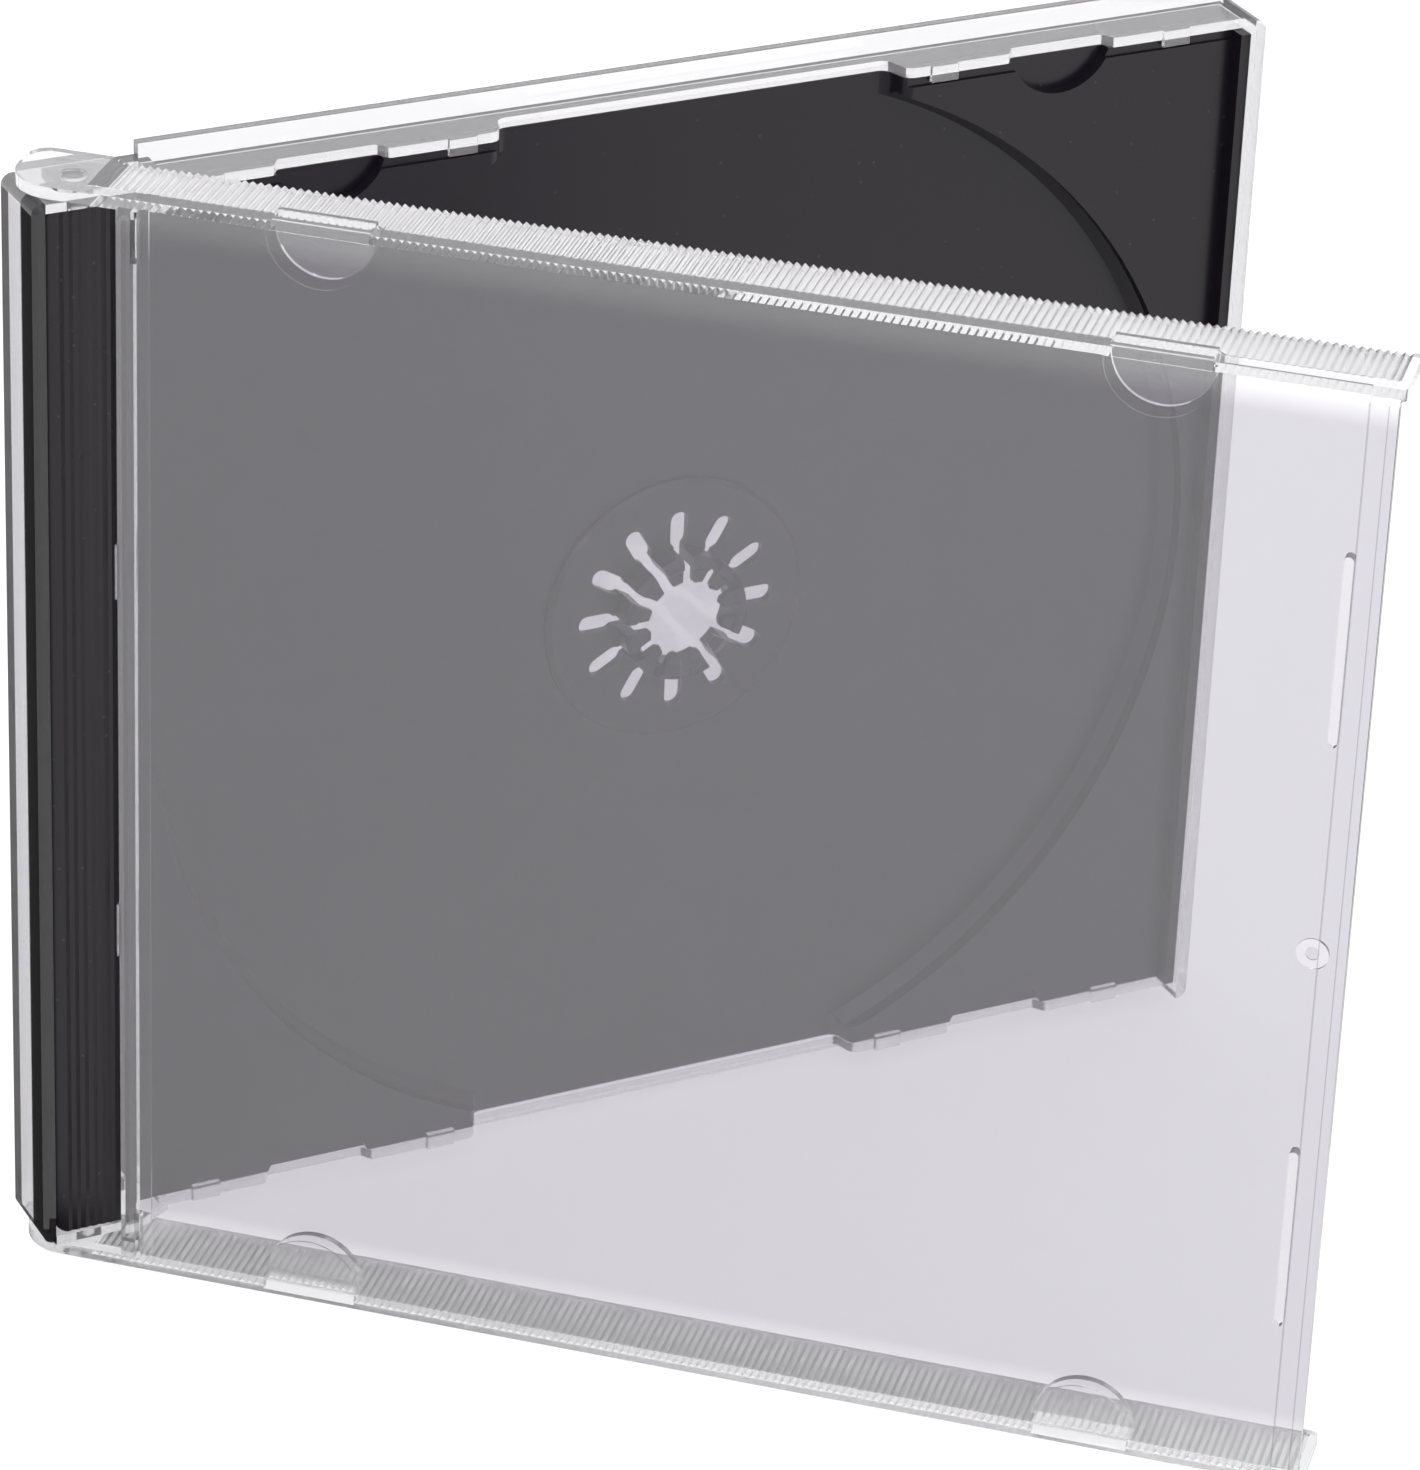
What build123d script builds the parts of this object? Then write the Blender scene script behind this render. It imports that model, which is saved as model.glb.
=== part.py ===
from build123d import *
import os
from math import sqrt

# A standard jewel case for one disc, standing on its lower edge like an open book.
# Three mouldings: a clear lid, a clear base and a black disc tray clipped into the base.
# The hinge line is the Z axis, and Z = 0 is the surface that the case stands on.

# Case
case_length = 142.0
case_height = 125.0
case_depth = 10.2
panel_wall = 1.2
opening_angle = 42.0

# Hinge: the line lies at half the closed depth, so that the lid folds back flat
hinge_inset = 5.8
hinge_depth = case_depth / 2
pin_radius = 1.4
pin_end_gap = 0.1
pin_chamfer = 0.3
pin_clearance = 0.05
fold_gap = 0.6

# Lid walls and hinge arms
lid_wall = 1.3
lid_back_gap = 0.15
arm_reach = 9.0
arm_back = 0.5
arm_front_radius = 5.0
arm_back_radius = 2.4
lid_end_radius = 0.6
panel_set_back = 0.5

# Grip ribs moulded across the outside of the lid walls
rib_pitch = 0.84
rib_height = 0.35
rib_skin = 0.05
rib_start = 8.4
rib_end_margin = 0.8
smooth_rim = 2.0

# Booklet tabs
tab_from_hinge_end = 33.3
tab_from_opening = 23.9
tab_radius = 5.3
tab_wall = 0.8
booklet_gap = 1.8
window_width = 10.2
window_lintel = 0.6
slide_mark_margin = 0.35
slide_mark_depth = 0.25

# Details on the inner face of the lid panel
edge_rib_width = 1.5
edge_rib_height = 1.3
edge_step_width = 1.7
edge_step_height = 0.3
corner_slot_width = 0.7
corner_slot_length = 5.6
nub_reach = 0.3
nub_length = 6.2
nub_from_middle = 21.0
nub_thickness = 1.1
stop_from_end = 4.1
stop_width = 1.0
stop_height = 1.2
stop_length = 20.8
stop_from_middle = 33.5
lip_width = 3.4
lip_relief = 0.25
gate_radius = 1.7
gate_height = 0.15
gate_dimple_radius = 0.7

# Base
ledge_reach = 8.5
ledge_width = 2.2
base_wall = 1.1
spine_wall = 1.3
spine_gap = 0.25
spine_chamfer = 0.5
spine_corner_radius = 1.2
arm_gap = 0.3
cheek_wall = 1.0
cheek_reach = 5.4
cheek_overlap = 1.1
clip_from_end = 8.5
clip_from_mouth = 4.8
clip_length = 3.2
clip_reach = 0.7
clip_rise = 0.4

# Tray
tray_gap = 0.1
tray_wall = 1.0
surround_drop = 2.4
recess_gap = 1.2
inlay_gap = 1.2
disc_radius = 60.0
disc_gap = 1.8
well_margin = 2.7
well_mouth = 46.4
mouth_radius = 1.4
recess_margin = 1.0
rim_slope = 0.5
rim_radius = 0.4
foot_width = 1.1
foot_height = 1.6
edge_step = 0.3
border_wall = 1.2
border_gap = 0.7

# Ridged bar beside the hinge
bar_end_gap = 0.9
bar_gap = 0.3
bar_shoulder = 0.6
bar_corner_radius = 1.5
skirt_drop = 3.9
card_room = 2.5
ridge_pitch = 1.0
ridge_height = 0.14
bar_rib_count = 4

# Hub that grips the 15 mm hole of the disc
hub_radius = 7.35
hub_height = 2.9
hub_crown = 0.5
hub_bore_radius = 4.1
hub_rim_width = 0.7
hub_rim_step = 0.3
finger_wall = 1.4
crown_wall = 1.1
seat_radius = 15.4
seat_height = 0.9
seat_bevel = 0.5
finger_count = 12
finger_slot = 1.2
finger_tip_bevel = 0.35
root_slot = 2.1
root_slot_length = 4.2
root_slot_gap = 0.15

# Worked out from the sizes above
half_height = case_height / 2
panel_inner = case_depth - panel_wall
panel_start = 2 * hinge_inset + fold_gap
lid_back = panel_wall + lid_back_gap
lip_level = panel_inner + lip_relief
tab_front = panel_inner - booklet_gap
tab_back = tab_front - tab_wall
tab_places = (tab_from_hinge_end, case_length - tab_from_opening)
lintel_level = tab_front - window_lintel
rim_level = case_depth - smooth_rim
spine_end = lid_wall + arm_gap
spine_depth = lip_level - spine_gap
pin_length = arm_gap + cheek_wall - pin_end_gap
ledge_start = hinge_inset + ledge_reach
cheek_top = hinge_inset + cheek_reach
cheek_end = ledge_start + cheek_overlap
base_wall_inner = ledge_width + base_wall
tray_edge = base_wall_inner + tray_gap
tray_start = spine_wall + tray_gap
tray_end = case_length - spine_wall - tray_gap
bar_edge = spine_end + cheek_wall + tray_gap
bar_end = panel_start - bar_end_gap
bar_level = panel_inner - bar_gap
skirt_level = bar_level - skirt_drop
border_level = panel_inner - border_gap
surround_level = panel_inner - surround_drop
recess_level = tab_back - recess_gap
recess_radius = tab_radius + recess_margin
half_recess = sqrt(recess_radius**2 - (tray_edge - lid_wall) ** 2)
floor_back = panel_wall + inlay_gap
floor_level = floor_back + tray_wall
seat_level = floor_level + seat_height
hub_level = seat_level + hub_height
well_radius = disc_radius + disc_gap
disc_centre = bar_end + well_margin + well_radius
mouth_start = disc_centre - well_mouth / 2
mouth_end = disc_centre + well_mouth / 2
clip_places = (
    bar_end + clip_from_end,
    mouth_start - clip_from_mouth,
    mouth_end + clip_from_mouth,
    tray_end - clip_from_end,
)

# Closed position of both shells: u along the length, v up, w from the back to the front
base_frame = Plane(origin=(-hinge_inset, hinge_depth, 0), x_dir=(1, 0, 0), z_dir=(0, -1, 0))
lid_frame = Plane(Location((0, 0, 0), (0, 0, -opening_angle)) * base_frame.location)

# Frames at the centre of the disc, for the well, the seat and the hub
disc_origin = base_frame.from_local_coords((disc_centre, half_height, 0))
disc_plane = Plane(disc_origin, x_dir=base_frame.x_dir, z_dir=base_frame.z_dir)
disc_section = Plane(disc_origin, x_dir=base_frame.x_dir, z_dir=-base_frame.y_dir)
disc_axis = Axis(disc_origin, base_frame.z_dir)


def section(frame, height):
    """Plane for a profile in u and w, whose extrusion runs down from that height."""
    return Plane(frame.from_local_coords((0, height, 0)), x_dir=frame.x_dir, z_dir=-frame.y_dir)


def middle(frame):
    """Plane of symmetry between the lower and the upper half."""
    return section(frame, half_height)


def span(u_start, v_start, u_end, v_end, mode=Mode.ADD):
    """Rectangle given by two opposite corners of the sketch."""
    with Locations(((u_start + u_end) / 2, (v_start + v_end) / 2)):
        Rectangle(u_end - u_start, v_end - v_start, mode=mode)


def dip(start, end, level, radius, mode=Mode.SUBTRACT):
    """Side view of a dip below the surround, between two places, with its corners rounded."""
    wing, above = 2 * radius, 2 * surround_level
    with BuildLine() as outline:
        FilletPolyline(
            (start - rim_slope - wing, above),
            (start - rim_slope - wing, surround_level),
            (start - rim_slope, surround_level),
            (start + rim_slope, level),
            (end - rim_slope, level),
            (end + rim_slope, surround_level),
            (end + rim_slope + wing, surround_level),
            (end + rim_slope + wing, above),
            radius=radius,
            close=True,
        )
    make_face(outline.edges(), mode=mode)


# Clear lid: the lower half is modelled, then mirrored
with BuildPart() as lid:
    with BuildSketch(lid_frame.offset(panel_inner)):
        span(panel_start, 0, case_length - panel_set_back, half_height)
    extrude(amount=panel_wall)

    # Side wall, which runs on past the panel as the hinge arm
    with BuildSketch(section(lid_frame, lid_wall)):
        with BuildLine():
            Polyline(
                (0, arm_back),
                (arm_reach, arm_back),
                (arm_reach + lid_back - arm_back, lid_back),
                (case_length, lid_back),
                (case_length, case_depth),
                (0, case_depth),
                close=True,
            )
        make_face()
        fillet(vertices().group_by(Axis.X)[0].sort_by(Axis.Y)[0], arm_back_radius)
        fillet(vertices().group_by(Axis.X)[0].sort_by(Axis.Y)[-1], arm_front_radius)
        fillet(vertices().group_by(Axis.X)[-1], lid_end_radius)
    extrude(amount=lid_wall)

    for place in tab_places:
        # Window in the wall, left by the slide that forms the tab
        with BuildSketch(section(lid_frame, lid_wall)):
            span(place - window_width / 2, tab_front, place + window_width / 2, panel_inner)
        extrude(amount=lid_wall, mode=Mode.SUBTRACT)
        # Half-moon tab behind the panel
        with BuildSketch(section(lid_frame, lid_wall)):
            span(place, tab_back, place + tab_radius, tab_front)
        tab_axis = Axis(lid_frame.from_local_coords((place, lid_wall, 0)), lid_frame.z_dir)
        revolve(axis=tab_axis, revolution_arc=180)
        # Mark of the slide on the inside of the panel
        mark_radius = tab_radius + slide_mark_margin
        with BuildSketch(lid_frame.offset(panel_inner)):
            with Locations((place, lid_wall)):
                Circle(mark_radius)
            span(place - mark_radius, lid_wall, place + mark_radius, half_height, Mode.INTERSECT)
        extrude(amount=slide_mark_depth, mode=Mode.SUBTRACT)

    # Stiffened edge beside the ridged bar, with a lower step next to it
    rib_end = panel_start + edge_rib_width
    step_end = rib_end + edge_step_width
    with BuildSketch(lid_frame.offset(panel_inner - edge_rib_height)):
        span(panel_start, bar_edge, rib_end, half_height)
    extrude(amount=edge_rib_height)
    with BuildSketch(lid_frame.offset(panel_inner - edge_step_height)):
        span(rib_end, lid_wall / 2, step_end, half_height)
    extrude(amount=edge_step_height)
    # Slot through the panel at the corner
    with BuildSketch(lid_frame.offset(panel_inner - edge_step_height)):
        slot_end = lid_wall + corner_slot_length
        span(rib_end, lid_wall, rib_end + corner_slot_width, slot_end)
    extrude(amount=panel_wall + edge_step_height, mode=Mode.SUBTRACT)
    # Nub on the hinge edge of the panel
    nub_v = half_height - nub_from_middle
    with BuildSketch(lid_frame.offset(case_depth - nub_thickness)):
        span(panel_start - nub_reach, nub_v - nub_length / 2, rib_end, nub_v + nub_length / 2)
    extrude(amount=nub_thickness)

    # Relief behind the opening edge, and the rib that stops the booklet
    lip_start = case_length - lip_width
    with BuildSketch(lid_frame.offset(panel_inner)):
        span(lip_start, lid_wall, case_length, half_height)
    extrude(amount=lip_relief, mode=Mode.SUBTRACT)
    stop_u = case_length - stop_from_end
    stop_v = half_height - stop_from_middle
    with BuildSketch(lid_frame.offset(panel_inner - stop_height)):
        with Locations((stop_u, stop_v)):
            SlotOverall(stop_length, stop_width, rotation=90)
    extrude(amount=stop_height + lip_relief)

    # Hinge pin, pointing inwards from the arm
    with BuildSketch(lid_frame.offset(hinge_depth)):
        span(hinge_inset, lid_wall, hinge_inset + pin_radius, lid_wall + pin_length)
        chamfer(vertices().group_by(Axis.X)[-1].sort_by(Axis.Y)[-1], pin_chamfer)
    revolve(axis=Axis.Z)

    # Grip ribs: a zigzag cut across the outside, up to the smooth rim and the window lintels
    rib_count = int((case_length - rib_end_margin - rib_start) / rib_pitch)
    zigzag = [(rib_start, rib_skin)]
    for rib in range(rib_count):
        rib_u = rib_start + rib * rib_pitch
        zigzag += [(rib_u + rib_pitch / 2, rib_skin + rib_height), (rib_u + rib_pitch, rib_skin)]
    for cut_back, cut_front in ((0, lintel_level), (lintel_level, rim_level)):
        with BuildSketch(lid_frame.offset(cut_back)):
            with BuildLine():
                Polyline((rib_start, -rib_height), *zigzag, (zigzag[-1][0], -rib_height), close=True)
            make_face()
            if cut_back == lintel_level:
                for place in tab_places:
                    with Locations((place, 0)):
                        Rectangle(window_width, 2 * lid_wall, mode=Mode.SUBTRACT)
        extrude(amount=cut_front - cut_back, mode=Mode.SUBTRACT)

    mirror(about=middle(lid_frame))

    # Round gate mark in the middle of the opening edge
    with BuildSketch(lid_frame.offset(panel_inner - gate_height)):
        with Locations((stop_u, half_height)):
            Circle(gate_radius)
            Circle(gate_dimple_radius, mode=Mode.SUBTRACT)
    extrude(amount=gate_height + lip_relief)

lid.part.label = "lid"

# Clear base: back panel, two spine walls and the low walls that hold the tray
with BuildPart() as base:
    with BuildSketch(base_frame):
        span(ledge_start, 0, case_length, half_height)
        span(0, spine_end, ledge_start, half_height)
        fillet(vertices().group_by(Axis.X)[0].sort_by(Axis.Y)[0], spine_corner_radius)
    extrude(amount=panel_wall)
    with BuildSketch(base_frame):
        span(0, spine_end, case_length, half_height)
        fillet(vertices().group_by(Axis.Y)[0], spine_corner_radius)
        span(spine_wall, spine_end, case_length - spine_wall, half_height, Mode.SUBTRACT)
    extrude(amount=spine_depth)
    spine_edges = edges().group_by(Axis(base_frame.origin, base_frame.z_dir))[-1].filter_by(Axis.Z)
    chamfer(spine_edges.sort_by(Axis.X)[0], spine_chamfer)

    # Low wall beside the tray
    with BuildSketch(section(base_frame, base_wall_inner)):
        span(ledge_start, 0, case_length - spine_wall, surround_level)
        dip(mouth_start, mouth_end, floor_level, mouth_radius)
        for place in tab_places:
            dip(place - half_recess, place + half_recess, recess_level, rim_radius)
    extrude(amount=base_wall)

    # Cheek with the hinge hole, between the lid arm and the ridged bar
    with BuildSketch(section(base_frame, spine_end + cheek_wall)):
        with BuildLine():
            Polyline(
                (spine_corner_radius, 0),
                (spine_corner_radius, spine_depth),
                (cheek_top, spine_depth),
                (cheek_end, surround_level),
                (cheek_end, 0),
                close=True,
            )
        make_face()
        fillet(vertices().group_by(Axis.Y)[-1].sort_by(Axis.X)[-1], rim_slope)
        with Locations((hinge_inset, hinge_depth)):
            Circle(pin_radius + pin_clearance, mode=Mode.SUBTRACT)
    extrude(amount=cheek_wall)

    # Clips on the low wall that hold the tray down by its edge step
    with BuildSketch(base_frame.offset(surround_level - edge_step + tray_gap)):
        for place in clip_places:
            clip_start = place - clip_length / 2
            span(clip_start, ledge_width, clip_start + clip_length, base_wall_inner + clip_reach)
    extrude(amount=edge_step - tray_gap + clip_rise)

    mirror(about=middle(base_frame))

base.part.label = "base"

# Black tray: a thin moulding with the disc well, the hub and the ridged bar
with BuildPart() as tray:
    # Surround
    with BuildSketch(base_frame.offset(surround_level - tray_wall)):
        span(bar_end - tray_wall, tray_edge, tray_end, half_height)
    extrude(amount=tray_wall)
    # Wall round the well, one wall thickness larger than the well itself
    with BuildSketch(base_frame.offset(floor_back)):
        with Locations((disc_centre, half_height)):
            Circle(well_radius + tray_wall)
        span(mouth_start - tray_wall, 0, mouth_end + tray_wall, half_height)
        span(bar_end, tray_edge, tray_end, half_height, Mode.INTERSECT)
    extrude(amount=surround_level - floor_back)
    # Skirt that stands on the back panel
    with BuildSketch(section(base_frame, tray_edge + tray_wall)):
        span(bar_end - tray_wall, panel_wall, tray_end, surround_level)
    extrude(amount=tray_wall)
    # Pads under the tab recesses
    for place in tab_places:
        with BuildSketch(base_frame.offset(recess_level - tray_wall)):
            with Locations((place, lid_wall)):
                Circle(recess_radius + tray_wall)
            span(bar_end, tray_edge, tray_end, half_height, Mode.INTERSECT)
        extrude(amount=surround_level - recess_level + tray_wall)
    # Well with its mouth at the edge, and the tab recesses
    with BuildSketch(disc_section):
        with BuildLine():
            Polyline(
                (0, floor_level),
                (well_radius - foot_width, floor_level),
                (well_radius, floor_level + foot_height),
                (well_radius, case_depth),
                (0, case_depth),
                close=True,
            )
        make_face()
    revolve(axis=disc_axis, mode=Mode.SUBTRACT)
    with BuildSketch(section(base_frame, half_height)):
        dip(mouth_start, mouth_end, floor_level, mouth_radius, Mode.ADD)
    extrude(amount=half_height, mode=Mode.SUBTRACT)
    with BuildSketch(base_frame.offset(recess_level)):
        with Locations(*((place, lid_wall) for place in tab_places)):
            Circle(recess_radius)
    extrude(amount=surround_level, mode=Mode.SUBTRACT)
    # Low step along the edge of the surround
    with BuildSketch(base_frame.offset(surround_level - edge_step)):
        span(bar_end, tray_edge, tray_end - border_wall, tray_edge + tray_wall)
    extrude(amount=surround_level, mode=Mode.SUBTRACT)
    # High border beside the opening edge
    with BuildSketch(base_frame.offset(panel_wall)):
        span(tray_end - border_wall, tray_edge, tray_end, half_height)
    extrude(amount=border_level - panel_wall)

    # Ridged bar: a channel with fine ridges along its face
    bar_width = bar_end - tray_start
    ridge_count = int((bar_width - 2 * bar_shoulder) / ridge_pitch)
    ridge_margin = (bar_width - ridge_count * ridge_pitch) / 2
    crests = []
    for ridge in range(ridge_count):
        ridge_u = tray_start + ridge_margin + ridge * ridge_pitch
        crests += [(ridge_u, bar_level - ridge_height), (ridge_u + ridge_pitch / 2, bar_level)]
    crests += [(bar_end - ridge_margin, bar_level - ridge_height)]
    bar_side = bar_level - bar_shoulder
    with BuildSketch(section(base_frame, half_height)):
        with BuildLine():
            Polyline(
                (tray_start, panel_wall),
                (tray_start, bar_side),
                *crests,
                (bar_end, bar_side),
                (bar_end, panel_wall),
                close=True,
            )
        make_face()
    extrude(amount=half_height - bar_edge)
    with BuildSketch(section(base_frame, half_height)):
        channel_front = bar_level - ridge_height - tray_wall
        span(tray_start + tray_wall, panel_wall, bar_end - tray_wall, channel_front)
    extrude(amount=half_height - bar_edge - tray_wall, mode=Mode.SUBTRACT)
    # Cross ribs inside the channel
    rib_step = (half_height - bar_edge) / bar_rib_count
    for rib in range(1, bar_rib_count + 1):
        with BuildSketch(section(base_frame, bar_edge + rib * rib_step)):
            span(tray_start, panel_wall, bar_end, bar_side - tray_wall)
        extrude(amount=tray_wall / 2)
    # Room for the folded edge of the title card, between the bar and the spine wall
    with BuildSketch(section(base_frame, half_height)):
        span(tray_start, panel_wall, tray_start + card_room, skirt_level)
    extrude(amount=half_height - bar_edge, mode=Mode.SUBTRACT)
    # Rounded corner of the bar
    corner_u = tray_start + bar_corner_radius
    corner_v = bar_edge + bar_corner_radius
    with BuildSketch(base_frame.offset(panel_wall)):
        span(tray_start, bar_edge, corner_u, corner_v)
        with Locations((corner_u, corner_v)):
            Circle(bar_corner_radius, mode=Mode.SUBTRACT)
    extrude(amount=bar_level, mode=Mode.SUBTRACT)

    mirror(about=middle(base_frame))

    # Seat and hub, turned round the centre of the disc
    with BuildSketch(disc_plane.offset(floor_back)):
        Circle(seat_radius - tray_wall)
    extrude(amount=tray_wall, mode=Mode.SUBTRACT)
    finger_inner = hub_radius - finger_wall
    rim_inner = hub_radius - hub_crown - hub_rim_width
    fingers_level = hub_level - hub_rim_step
    with BuildSketch(disc_section):
        with BuildLine():
            Polyline(
                (finger_inner, seat_level - tray_wall),
                (seat_radius - tray_wall, seat_level - tray_wall),
                (seat_radius - tray_wall, floor_back),
                (seat_radius, floor_back),
                (seat_radius, seat_level - seat_bevel),
                (seat_radius - seat_bevel, seat_level),
                (hub_radius, seat_level),
                (hub_radius, hub_level - hub_crown),
                (hub_radius - hub_crown, hub_level),
                (rim_inner, hub_level),
                (rim_inner - hub_rim_step, fingers_level),
                (hub_bore_radius + hub_crown, fingers_level),
                (hub_bore_radius, fingers_level - hub_crown),
                (hub_bore_radius, hub_level - crown_wall),
                (finger_inner, hub_level - crown_wall),
                close=True,
            )
        make_face()
    revolve(axis=disc_axis)
    # Slots that part the fingers
    root_middle = hub_radius + root_slot_gap + root_slot_length / 2
    with BuildSketch(disc_plane):
        with PolarLocations(root_middle, finger_count):
            SlotOverall(root_slot_length, root_slot)
        with PolarLocations(0, finger_count):
            half_slot = finger_slot / 2
            half_mouth = half_slot + 2 * finger_tip_bevel
            Polygon(
                (0, -half_mouth),
                (hub_bore_radius - finger_tip_bevel, -half_mouth),
                (hub_bore_radius + finger_tip_bevel, -half_slot),
                (root_middle, -half_slot),
                (root_middle, half_slot),
                (hub_bore_radius + finger_tip_bevel, half_slot),
                (hub_bore_radius - finger_tip_bevel, half_mouth),
                (0, half_mouth),
                align=None,
            )
    extrude(amount=case_depth, mode=Mode.SUBTRACT)

tray.part.label = "tray"

os.makedirs("parts", exist_ok=True)
export_step(lid.part, "parts/lid.step")
export_step(base.part, "parts/base.step")
export_step(tray.part, "parts/tray.step")
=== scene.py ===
from math import cos, radians, sin

import bpy
from mathutils import Matrix, Vector

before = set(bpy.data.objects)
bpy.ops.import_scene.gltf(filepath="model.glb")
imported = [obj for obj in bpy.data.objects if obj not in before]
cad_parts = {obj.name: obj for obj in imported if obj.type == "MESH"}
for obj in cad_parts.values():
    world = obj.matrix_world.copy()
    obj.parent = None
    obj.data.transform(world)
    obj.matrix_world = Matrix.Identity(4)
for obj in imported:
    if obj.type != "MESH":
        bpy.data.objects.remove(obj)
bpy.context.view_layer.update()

# Sizes of the case in metres. The hinge axis stands at X 0, Y 0. X runs from it along the
# panels to the opening edge, Y from the front of the case to its back, and Z up.
OPENING = radians(42)
HINGE_INSET = 0.0058
HINGE_DEPTH = 0.0051
CASE_DEPTH = 0.0102
CASE_HEIGHT = 0.125
PANEL_WALL = 0.0012
SPINE_WALL = 0.0013
PANEL_END = 0.1357
LID_PANEL_INSIDE = -(CASE_DEPTH - PANEL_WALL - HINGE_DEPTH)
BASE_PANEL_INSIDE = HINGE_DEPTH - PANEL_WALL

# Colours of the plastics, the near black of the painted shade on the clear plastic, and the most
# that a speck of dust adds of its own
CLEAR = (0.975, 0.97, 0.985, 1)
LID_PANEL_TINT = (0.705, 0.688, 0.738, 1)
BASE_PANEL_TINT = (0.93, 0.92, 0.945, 1)
# Painted shade: near black painted on the front of the spine wall, on the lid's end face and on
# the thin lines beside it
PAINTED_SHADE_BLACK = (0.0004, 0.0004, 0.0005, 1)
TRAY_DARK = (0.0060, 0.0035, 0.0078, 1)
TRAY_LIGHT = (0.0092, 0.0062, 0.0115, 1)
DUST_GREY = (0.12, 0.12, 0.13, 1)
DUST_SHARE = 0.25

# Roughness of the plastics. The pairs go with the moulding waves.
CLEAR_ROUGHNESS = (0.008, 0.02)
SCUFFED_ROUGHNESS = 0.16
TRAY_ROUGHNESS = (0.24, 0.34)

# Heights and depths at which the masks of the clear plastic go from 0 to 1
ABOVE_LOW_STRIP = (0.0045, 0.0085)
BELOW_HIGH_STRIP = (CASE_HEIGHT - 0.0020, CASE_HEIGHT - 0.0045)
SCUFFED_FOOT = (0.0018, 0.0015)
# The next three place painted shade: on the spine wall's front and on the lid's end face
SPINE_FRONT = (-0.0002, -0.0005)
EDGE_UPPER_HALF = (0.03, 0.07)
EDGE_BELOW_TOP = (CASE_HEIGHT - 0.0018, CASE_HEIGHT - 0.0019)

# Distances before a face at which its own mask goes from 0 to 1
PANEL_FADE = 0.0001
SKIN_FROM, SKIN_TO = 0.00006, 0.00004

# Thin lines of painted shade beside the lid's end face
LINES_FROM_END = (0.001, 0.0029)
LINE_HALF_WIDTH = 0.00007
LINE_SHARE = 0.45

# Stage. The floor lies just under the case and the card between the two. The card's corners
# frame the strip of floor that the spine wall mirrors.
FLOOR_REACH = 3.0
FLOOR_LEVEL = -0.0002
FLOOR_GREY = (0.25, 0.25, 0.255, 1)
FLOOR_GLOW = 0.85
CARD_LEVEL = -0.0001
CARD_BLACK = (0.01, 0.01, 0.01, 1)
SPINE_CARD = [(-0.0081, -0.0137), (0.0013, -0.0103), (-0.1059, 0.2854), (-0.1191, 0.2805)]


# Nodes that more than one material uses


def new_group(name, inputs, outputs):
    """Empty shader node group with named inputs and outputs."""
    tree = bpy.data.node_groups.new(name, "ShaderNodeTree")
    for label, kind, value in inputs:
        socket = tree.interface.new_socket(label, in_out="INPUT", socket_type=kind)
        if value is not None:
            socket.default_value = value
    for label, kind in outputs:
        tree.interface.new_socket(label, in_out="OUTPUT", socket_type=kind)
    return tree, tree.nodes.new("NodeGroupInput"), tree.nodes.new("NodeGroupOutput")


def new_material(name):
    """Material with its node tree and its Principled shader."""
    material = bpy.data.materials.new(name)
    material.use_nodes = True
    return material, material.node_tree, material.node_tree.nodes["Principled BSDF"]


def add_node(tree, kind, place, **settings):
    """Node at a place in the tree; in_N sets its socket N, other settings its properties."""
    node = tree.nodes.new(kind)
    node.location = place
    for key, value in settings.items():
        if key.startswith("in_"):
            node.inputs[int(key[3:])].default_value = value
        else:
            setattr(node, key, value)
    return node


def ramp(tree, place, value, low, high, to_low=0.0, to_high=1.0):
    """Goes from to_low to to_high as the value goes from low to high."""
    node = add_node(tree, "ShaderNodeMapRange", place)
    node.inputs["From Min"].default_value = low
    node.inputs["From Max"].default_value = high
    node.inputs["To Min"].default_value = to_low
    node.inputs["To Max"].default_value = to_high
    tree.links.new(value, node.inputs["Value"])
    return node.outputs["Result"]


def joined(tree, place, operation, one, other):
    """Two masks joined by a math operation."""
    node = add_node(tree, "ShaderNodeMath", place, operation=operation)
    tree.links.new(one, node.inputs[0])
    tree.links.new(other, node.inputs[1])
    return node.outputs[0]


def scaled(tree, place, mask, share):
    """Mask times a constant share."""
    node = add_node(tree, "ShaderNodeMath", place, operation="MULTIPLY", in_1=share)
    tree.links.new(mask, node.inputs[0])
    return node.outputs[0]


def mixed(tree, place, share, one, other, kind="RGBA"):
    """Goes from one to the other by a share; each of the two is a constant or a socket."""
    node = add_node(tree, "ShaderNodeMix", place, data_type=kind)
    tree.links.new(share, node.inputs["Factor"])
    for label, value in (("A", one), ("B", other)):
        if isinstance(value, bpy.types.NodeSocket):
            tree.links.new(value, node.inputs[label])
        else:
            node.inputs[label].default_value = value
    return node.outputs["Result"]


def moulding_flow_group():
    """Slow waves, as injection moulding leaves them on a large panel."""
    tree, inside, outside = new_group(
        "moulding_flow",
        [("Vector", "NodeSocketVector", None), ("Wave scale", "NodeSocketFloat", 10.0)],
        [("Wave", "NodeSocketFloat")],
    )
    wave = add_node(tree, "ShaderNodeTexNoise", (-400, 200))
    wave.inputs["Detail"].default_value = 1.0
    tree.links.new(inside.outputs["Vector"], wave.inputs["Vector"])
    tree.links.new(inside.outputs["Wave scale"], wave.inputs["Scale"])
    tree.links.new(wave.outputs["Fac"], outside.inputs["Wave"])
    return tree


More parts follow.
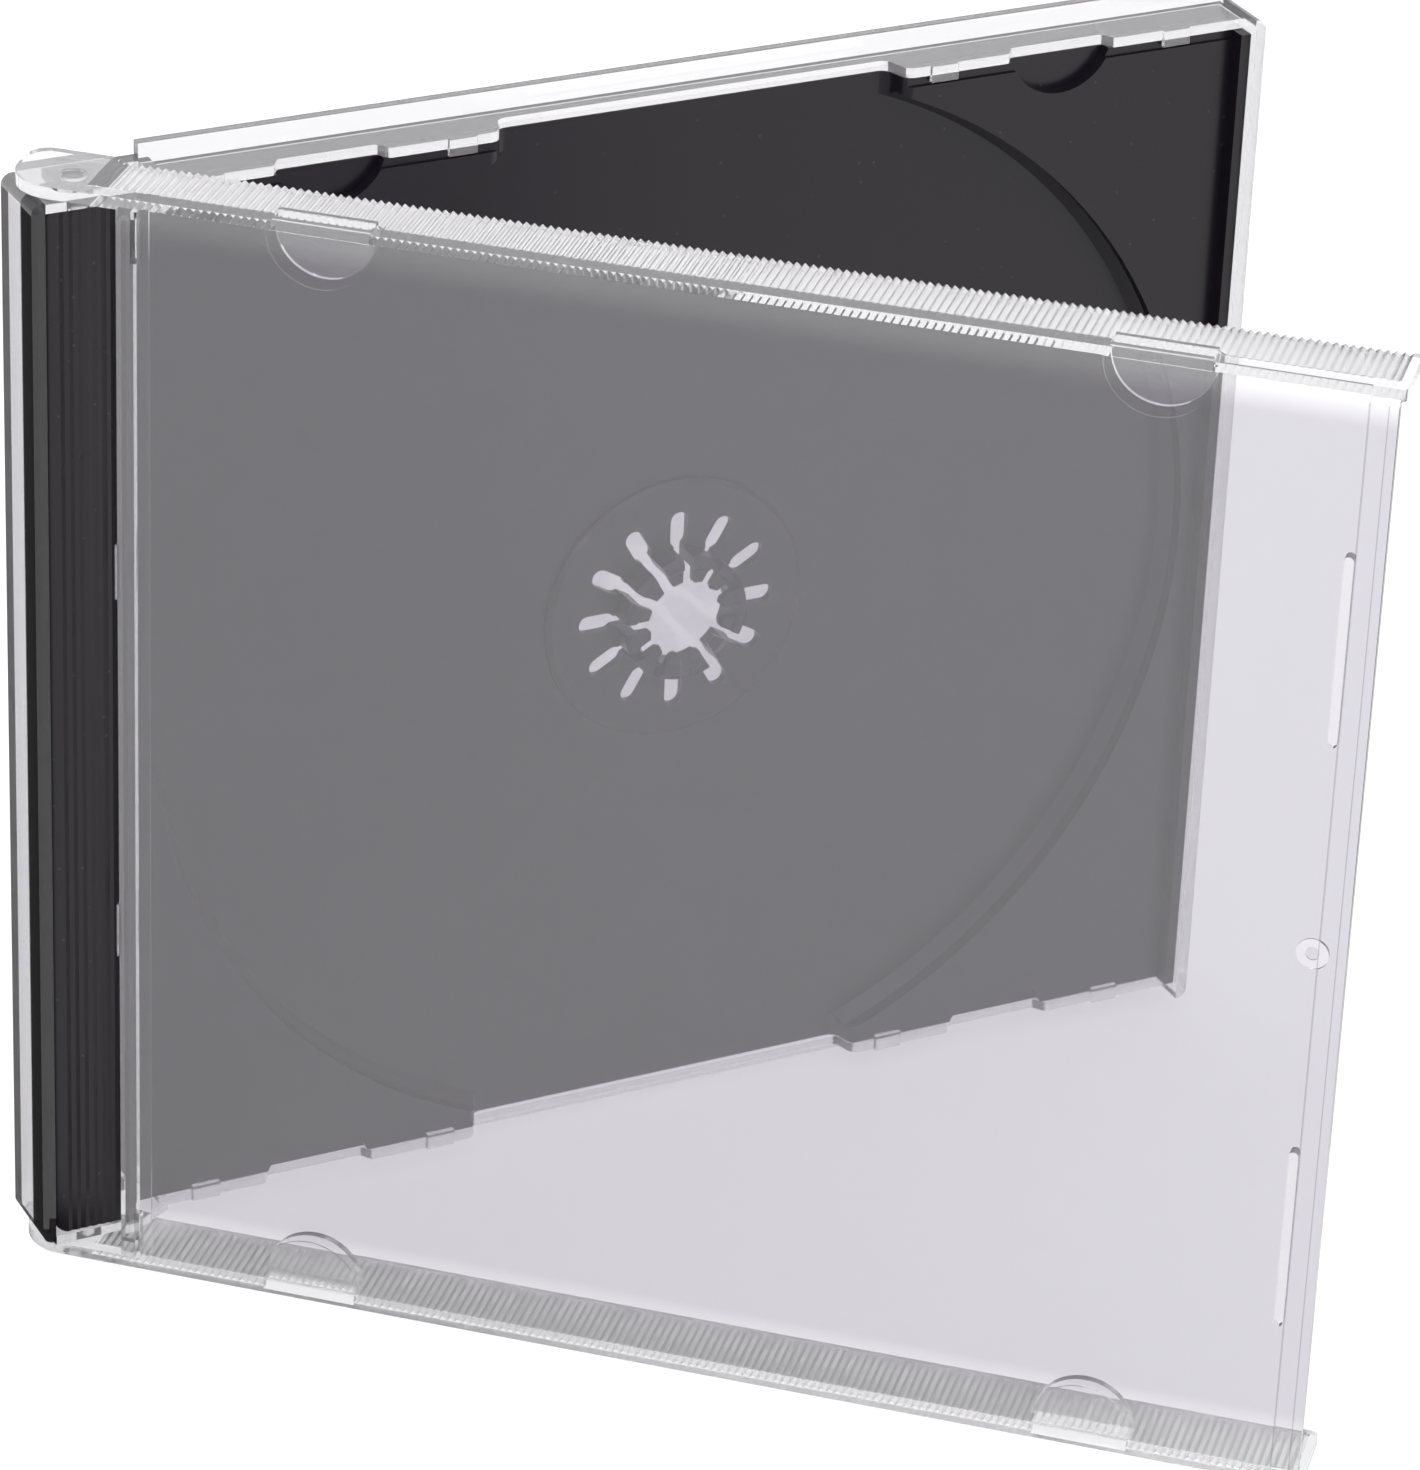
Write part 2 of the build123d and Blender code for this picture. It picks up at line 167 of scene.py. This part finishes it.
def dust_group():
    """Specks of dust, few and small, as a mask from 0 to 1."""
    tree, inside, outside = new_group(
        "dust",
        [("Vector", "NodeSocketVector", None), ("Speck scale", "NodeSocketFloat", 900.0)],
        [("Specks", "NodeSocketFloat")],
    )
    rim, core = 0.10, 0.04
    dots = add_node(tree, "ShaderNodeTexVoronoi", (-500, -150))
    tree.links.new(inside.outputs["Vector"], dots.inputs["Vector"])
    tree.links.new(inside.outputs["Speck scale"], dots.inputs["Scale"])
    specks = ramp(tree, (-250, -150), dots.outputs["Distance"], rim, core)
    tree.links.new(specks, outside.inputs["Specks"])
    return tree


MOULDING_FLOW = moulding_flow_group()
DUST = dust_group()


def group_node(tree, group, place, where, **values):
    """Output of a shared group at some coordinates; each value goes to the input of its name."""
    node = add_node(tree, "ShaderNodeGroup", place, node_tree=group)
    tree.links.new(where, node.inputs["Vector"])
    for label, value in values.items():
        node.inputs[label.replace("_", " ")].default_value = value
    return node.outputs[0]


def case_coordinates(tree, turn):
    """Object coordinates turned so that X runs along a panel and Y through its thickness."""
    place = add_node(tree, "ShaderNodeTexCoord", (-1500, 0))
    mapping = add_node(tree, "ShaderNodeMapping", (-1300, 0))
    mapping.inputs["Rotation"].default_value = (0, 0, turn)
    tree.links.new(place.outputs["Object"], mapping.inputs["Vector"])
    return mapping.outputs["Vector"]


# Materials


def spine_painted_shade(tree, axes):
    """Mask of painted shade on the front of the spine wall: near black painted where the black bar
    beside it shows through the clear wall.
    """
    inside = SPINE_WALL - HINGE_INSET
    wall = ramp(tree, (-650, 800), axes["X"], inside + SKIN_FROM, inside + SKIN_TO)
    front = ramp(tree, (-650, 1000), axes["Y"], *SPINE_FRONT)
    return joined(tree, (-450, 900), "MULTIPLY", wall, front)


def thin_line(tree, place, value, middle):
    """Mask of a line where the value is next to the middle."""
    node = add_node(
        tree, "ShaderNodeMath", place, operation="COMPARE", in_1=middle, in_2=LINE_HALF_WIDTH
    )
    tree.links.new(value, node.inputs[0])
    return node.outputs[0]


def opening_edge_painted_shade(tree, axes):
    """Mask of painted shade on the panel's end face, darkest in its upper half, and of two painted
    dark lines beside it.
    """
    face = ramp(tree, (-900, 1100), axes["X"], PANEL_END - SKIN_FROM, PANEL_END - SKIN_TO)
    upper = ramp(tree, (-900, 1300), axes["Z"], *EDGE_UPPER_HALF)
    end = joined(tree, (-700, 1200), "MULTIPLY", face, upper)
    near, far = (
        thin_line(tree, (-900, 1500 + 200 * row), axes["X"], PANEL_END - distance)
        for row, distance in enumerate(LINES_FROM_END)
    )
    lines = joined(tree, (-700, 1500), "ADD", near, far)
    outside = ramp(
        tree, (-700, 1700), axes["Y"], SKIN_FROM - HINGE_DEPTH, SKIN_TO - HINGE_DEPTH
    )
    lines_outside = joined(tree, (-600, 1600), "MULTIPLY", lines, outside)
    faint = scaled(tree, (-500, 1600), lines_outside, LINE_SHARE)
    every = joined(tree, (-400, 1400), "MAXIMUM", end, faint)
    below_top = ramp(tree, (-500, 1800), axes["Z"], *EDGE_BELOW_TOP)
    return joined(tree, (-300, 1500), "MULTIPLY", every, below_top)


def clear_polystyrene(name, turn, panel_depth, panel_tint, painted_shade_mask):
    """Water-clear polystyrene with a little haze: a faint lilac tint that is deeper in the panel,
    slow moulding waves in the surface and its gloss, and painted shade in near black where the
    mask it is given says."""
    material, tree, shader = new_material(name)
    # The tenth that isn't clear is the haze
    shader.inputs["Transmission Weight"].default_value = 0.9
    shader.inputs["IOR"].default_value = 1.59
    link = tree.links.new
    where = case_coordinates(tree, turn)
    wave = group_node(tree, MOULDING_FLOW, (-900, -200), where, Wave_scale=9.0)
    separate = add_node(tree, "ShaderNodeSeparateXYZ", (-900, 500))
    link(where, separate.inputs["Vector"])
    axes = separate.outputs

    # The strips in front of the side walls stay as clear as the walls
    panel = ramp(tree, (-650, 500), axes["Y"], *panel_depth)
    above = ramp(tree, (-850, 650), axes["Z"], *ABOVE_LOW_STRIP)
    below = ramp(tree, (-850, 800), axes["Z"], *BELOW_HIGH_STRIP)
    window = joined(tree, (-650, 700), "MULTIPLY", above, below)
    tinted = joined(tree, (-450, 600), "MULTIPLY", panel, window)
    tint = mixed(tree, (-400, 300), tinted, CLEAR, panel_tint)
    # Painted shade: where the mask says, the colour goes to near black
    shaded = mixed(tree, (-200, 500), painted_shade_mask(tree, axes), tint, PAINTED_SHADE_BLACK)
    link(shaded, shader.inputs["Base Color"])

    # The wall that the case stands on is scuffed
    smooth = ramp(tree, (-400, 50), wave, 0.0, 1.0, *CLEAR_ROUGHNESS)
    foot = ramp(tree, (-650, 0), axes["Z"], *SCUFFED_FOOT)
    roughness = mixed(tree, (-200, 50), foot, smooth, SCUFFED_ROUGHNESS, kind="FLOAT")
    link(roughness, shader.inputs["Roughness"])

    bump = add_node(tree, "ShaderNodeBump", (-400, -250))
    bump.inputs["Strength"].default_value = 0.05
    bump.inputs["Distance"].default_value = 0.0004
    link(wave, bump.inputs["Height"])
    link(bump.outputs["Normal"], shader.inputs["Normal"])
    return material


def black_tray_plastic(name):
    """Black polystyrene with a satin skin, uneven gloss from the mould and a few specks of
    dust."""
    material, tree, shader = new_material(name)
    shader.inputs["IOR"].default_value = 1.45
    link = tree.links.new
    where = case_coordinates(tree, 0)
    wave = group_node(tree, MOULDING_FLOW, (-900, -200), where, Wave_scale=14.0)
    specks = group_node(tree, DUST, (-900, 200), where, Speck_scale=420.0)

    shade = mixed(tree, (-500, 350), wave, TRAY_DARK, TRAY_LIGHT)
    dust = scaled(tree, (-500, 150), specks, DUST_SHARE)
    link(mixed(tree, (-250, 350), dust, shade, DUST_GREY), shader.inputs["Base Color"])
    link(ramp(tree, (-400, 0), wave, 0.0, 1.0, *TRAY_ROUGHNESS), shader.inputs["Roughness"])
    return material


def dress(node, material):
    """Gives every slot of a CAD piece the material."""
    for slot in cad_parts[node].material_slots:
        slot.material = material


lid_panel_depth = (LID_PANEL_INSIDE + PANEL_FADE, LID_PANEL_INSIDE)
base_panel_depth = (BASE_PANEL_INSIDE - PANEL_FADE, BASE_PANEL_INSIDE)
# Each clear plastic gets painted shade: the lid at its end face, the base at the front of its
# spine wall
lid_plastic = clear_polystyrene(
    "lid_clear_polystyrene", OPENING, lid_panel_depth, LID_PANEL_TINT, opening_edge_painted_shade
)
base_plastic = clear_polystyrene(
    "base_clear_polystyrene", 0, base_panel_depth, BASE_PANEL_TINT, spine_painted_shade
)
dress("lid", lid_plastic)
dress("base", base_plastic)
dress("tray", black_tray_plastic("tray_black_polystyrene"))


# Floor, light and camera


def rays_that_see_white(tree):
    """1 for the camera's rays and for those that the plastic reflects or lets through."""
    rays = add_node(tree, "ShaderNodeLightPath", (-800, 400)).outputs
    direct = joined(
        tree, (-600, 400), "MAXIMUM", rays["Is Camera Ray"], rays["Is Transmission Ray"]
    )
    return joined(tree, (-400, 400), "MAXIMUM", direct, rays["Is Glossy Ray"])


def flat_sheet(name, corners, level, material):
    """Four-cornered sheet that lies at a level."""
    mesh = bpy.data.meshes.new(name)
    mesh.from_pydata([(x, y, level) for x, y in corners], [], [(0, 1, 2, 3)])
    mesh.materials.append(material)
    sheet = bpy.data.objects.new(name, mesh)
    bpy.context.collection.objects.link(sheet)
    return sheet


def studio_floor():
    """Plain pale floor that the camera, the plastic and its reflections see as white."""
    material, tree, paint = new_material("pale_floor")
    link = tree.links.new
    paint.inputs["Base Color"].default_value = FLOOR_GREY
    paint.inputs["Roughness"].default_value = 0.9
    paint.inputs["Specular IOR Level"].default_value = 0.0
    glow = add_node(tree, "ShaderNodeEmission", (100, 300))
    strength = scaled(tree, (0, 400), rays_that_see_white(tree), FLOOR_GLOW)
    link(strength, glow.inputs["Strength"])
    blend = add_node(tree, "ShaderNodeAddShader", (300, 200))
    link(paint.outputs[0], blend.inputs[0])
    link(glow.outputs[0], blend.inputs[1])
    link(blend.outputs[0], tree.nodes["Material Output"].inputs["Surface"])
    corners = [(FLOOR_REACH * x, FLOOR_REACH * y) for x, y in ((-1, -1), (1, -1), (1, 1), (-1, 1))]
    floor = flat_sheet("studio_floor", corners, FLOOR_LEVEL, material)


def dark_card(name, corners):
    """Dark card on the floor that only reflections see. It takes the glare off a face."""
    material, _, shader = new_material(name)
    shader.inputs["Base Color"].default_value = CARD_BLACK
    card = flat_sheet(name, corners, CARD_LEVEL, material)
    card.visible_camera = False
    card.visible_diffuse = False
    card.visible_transmission = False
    card.visible_shadow = False


def studio_world():
    """Pale room, a little darker at the horizon, that shows as white behind the object."""
    horizon, ceiling, ceiling_from, white = 0.85, 0.95, 0.6, 1.0
    world = bpy.data.worlds.new("studio_room")
    bpy.context.scene.world = world
    world.use_nodes = True
    tree = world.node_tree
    room = tree.nodes["Background"]
    place = add_node(tree, "ShaderNodeTexCoord", (-900, 0))
    axes = add_node(tree, "ShaderNodeSeparateXYZ", (-700, 0))
    tree.links.new(place.outputs["Generated"], axes.inputs["Vector"])
    light = ramp(tree, (-500, 0), axes.outputs["Z"], 0.0, ceiling_from, horizon, ceiling)
    seen = mixed(tree, (-250, 100), rays_that_see_white(tree), light, white, kind="FLOAT")
    tree.links.new(seen, room.inputs["Strength"])
    room.inputs["Color"].default_value = (1, 1, 1, 1)


def soft_box(name, place, target, size, power):
    """Area lamp that faces a target."""
    lamp = bpy.data.lights.new(name, "AREA")
    lamp.shape = "RECTANGLE"
    lamp.size, lamp.size_y = size
    lamp.energy = power
    box = bpy.data.objects.new(name, lamp)
    bpy.context.collection.objects.link(box)
    box.location = place
    box.rotation_mode = "QUATERNION"
    box.rotation_quaternion = (Vector(target) - Vector(place)).to_track_quat("-Z", "Y")


def photo_camera():
    """Camera at the place and angle that a fit to the photo's edges gives."""
    yaw, pitch, roll = radians(27.283), radians(27.81), radians(-2.434)
    place = Vector((-0.216202, -0.563138, 0.380496))
    focal_pixels, sensor_width, photo_height = 6500.3, 36, 1470
    forward = Vector((sin(yaw) * cos(pitch), cos(yaw) * cos(pitch), -sin(pitch)))
    level = Vector((cos(yaw), -sin(yaw), 0))
    down = forward.cross(level)
    right = cos(roll) * level + sin(roll) * down
    up = sin(roll) * level - cos(roll) * down
    data = bpy.data.cameras.new("photo_camera")
    data.lens = focal_pixels * sensor_width / photo_height
    data.sensor_width = sensor_width
    data.clip_start, data.clip_end = 0.01, 50
    camera = bpy.data.objects.new("photo_camera", data)
    turn = Matrix((right, up, -forward)).transposed()
    camera.matrix_world = Matrix.Translation(place) @ turn.to_4x4()
    bpy.context.collection.objects.link(camera)
    bpy.context.scene.camera = camera


studio_floor()
dark_card("spine_card", SPINE_CARD)
studio_world()
soft_box("top_box", (-0.2, -0.3, 1.6), target=(0.05, -0.03, 0.06), size=(2.0, 2.0), power=8)
soft_box("rim_box", (-0.88, -0.88, 0.81), target=(0.07, 0.0, 0.06), size=(0.16, 0.16), power=3)
photo_camera()
bpy.context.scene.view_settings.view_transform = "Standard"
